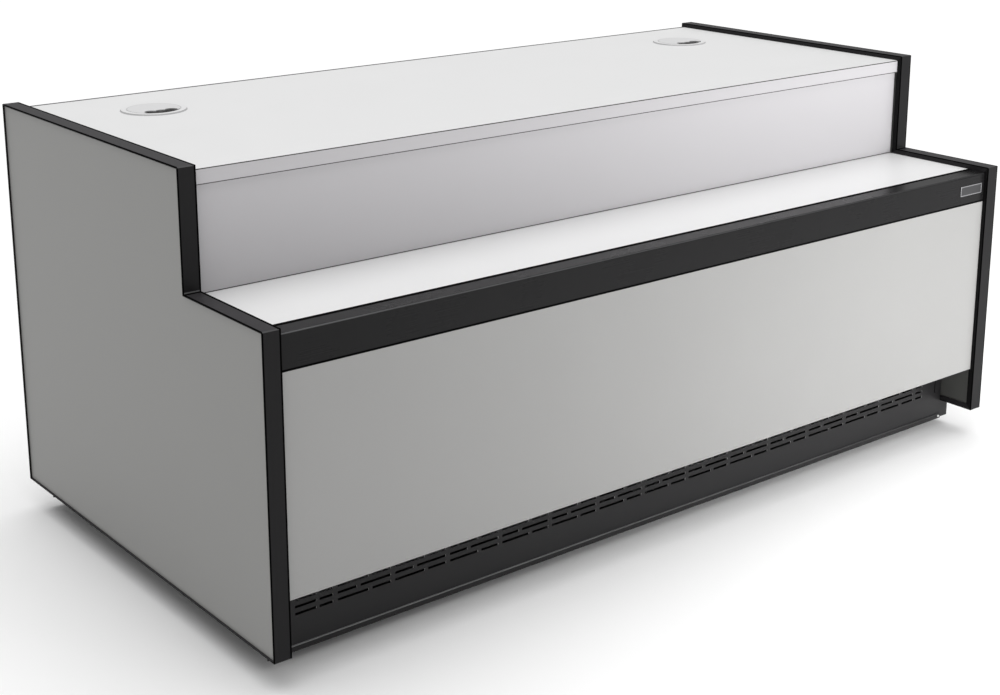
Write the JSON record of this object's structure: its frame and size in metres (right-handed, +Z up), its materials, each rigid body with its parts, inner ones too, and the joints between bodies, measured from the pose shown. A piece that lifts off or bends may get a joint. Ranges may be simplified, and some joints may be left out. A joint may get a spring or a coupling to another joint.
{
  "type": "neutral display counter",
  "caption": "Stepped serving counter with a high worktop, cable grommets, a low parcel shelf, black-edged end panels, a slotted recessed plinth and an open rear with shelves.",
  "frame": {"origin": "on the floor under the middle of the counter's box", "axes": "+X to the right as the customer sees it, +Y from the customer to the staff, +Z up"},
  "size_m": [2, 1.032, 0.9],
  "materials": {
    "black_profile": "black extruded edge profile, satin",
    "grey_skin": "warm grey coated sheet, satin",
    "dark_board": "dark grey melamine-faced board",
    "black_sheet": "black powder-coated sheet steel",
    "black_rail": "black anodised extrusion, satin",
    "silver_panel": "silver-grey coated sheet, satin",
    "white_top": "white laminate on board, smooth",
    "white_riser": "white laminate on board, smooth",
    "white_board": "white melamine-faced board",
    "zinc_steel": "zinc-plated steel",
    "foot_plastic": "black moulded plastic",
    "grommet_plastic": "white moulded plastic"
  },
  "bodies": {
    "counter": {"left_edge_front": "black_profile", "left_edge_tread": "black_profile", "left_edge_step": "black_profile", "left_edge_top": "black_profile", "left_edge_back": "black_profile", "left_edge_bottom": "black_profile", "left_panel_outer_skin": "grey_skin", "left_panel_board": "dark_board", "left_gable": "white_board", "left_bottom_shelf": "white_board", "left_middle_shelf": "white_board", "left_rear_stretcher": "white_board", "left_grommet_liner": "grommet_plastic", "base_left_end": "black_sheet", "right_edge_front": "black_profile", "right_edge_tread": "black_profile", "right_edge_step": "black_profile", "right_edge_top": "black_profile", "right_edge_back": "black_profile", "right_edge_bottom": "black_profile", "right_panel_outer_skin": "grey_skin", "right_panel_board": "dark_board", "right_gable": "white_board", "right_bottom_shelf": "white_board", "right_middle_shelf": "white_board", "right_rear_stretcher": "white_board", "right_grommet_liner": "grommet_plastic", "base_right_end": "black_sheet", "middle_gable": "white_board", "shelf_cleats": "zinc_steel", "base_front_rail": "black_sheet", "base_rear_rail": "black_sheet", "base_middle_cross": "black_sheet", "plinth_grille": "black_sheet", "rear_kick_plate": "black_sheet", "front_panel": "silver_panel", "front_rail": "black_rail", "parcel_shelf": "white_top", "worktop": "white_top", "riser": "white_riser"},
    "left_cap": {"left_grommet_cap": "grommet_plastic"},
    "right_cap": {"right_grommet_cap": "grommet_plastic"},
    "foot_front_left": {"foot_pad_front_left": "foot_plastic", "foot_stud_front_left": "zinc_steel"},
    "foot_front_middle": {"foot_pad_front_middle": "foot_plastic", "foot_stud_front_middle": "zinc_steel"},
    "foot_front_right": {"foot_pad_front_right": "foot_plastic", "foot_stud_front_right": "zinc_steel"},
    "foot_rear_left": {"foot_pad_rear_left": "foot_plastic", "foot_stud_rear_left": "zinc_steel"},
    "foot_rear_middle": {"foot_pad_rear_middle": "foot_plastic", "foot_stud_rear_middle": "zinc_steel"},
    "foot_rear_right": {"foot_pad_rear_right": "foot_plastic", "foot_stud_rear_right": "zinc_steel"}
  },
  "joints": [
    {"name": "left_cap_turn", "type": "hinge", "parent": "counter", "child": "left_cap", "pos_m": [-0.757, 0.314, 0.89], "axis": [0, 0, 1], "continuous": true},
    {"name": "right_cap_turn", "type": "hinge", "parent": "counter", "child": "right_cap", "pos_m": [0.757, 0.314, 0.89], "axis": [0, 0, 1], "continuous": true},
    {"name": "foot_front_left_screw", "type": "slide", "parent": "counter", "child": "foot_front_left", "axis": [0, 0, -1], "range_m": [0, 0.015]},
    {"name": "foot_front_middle_screw", "type": "slide", "parent": "counter", "child": "foot_front_middle", "axis": [0, 0, -1], "range_m": [0, 0.015]},
    {"name": "foot_front_right_screw", "type": "slide", "parent": "counter", "child": "foot_front_right", "axis": [0, 0, -1], "range_m": [0, 0.015]},
    {"name": "foot_rear_left_screw", "type": "slide", "parent": "counter", "child": "foot_rear_left", "axis": [0, 0, -1], "range_m": [0, 0.015]},
    {"name": "foot_rear_middle_screw", "type": "slide", "parent": "counter", "child": "foot_rear_middle", "axis": [0, 0, -1], "range_m": [0, 0.015]},
    {"name": "foot_rear_right_screw", "type": "slide", "parent": "counter", "child": "foot_rear_right", "axis": [0, 0, -1], "range_m": [0, 0.015]}
  ]
}
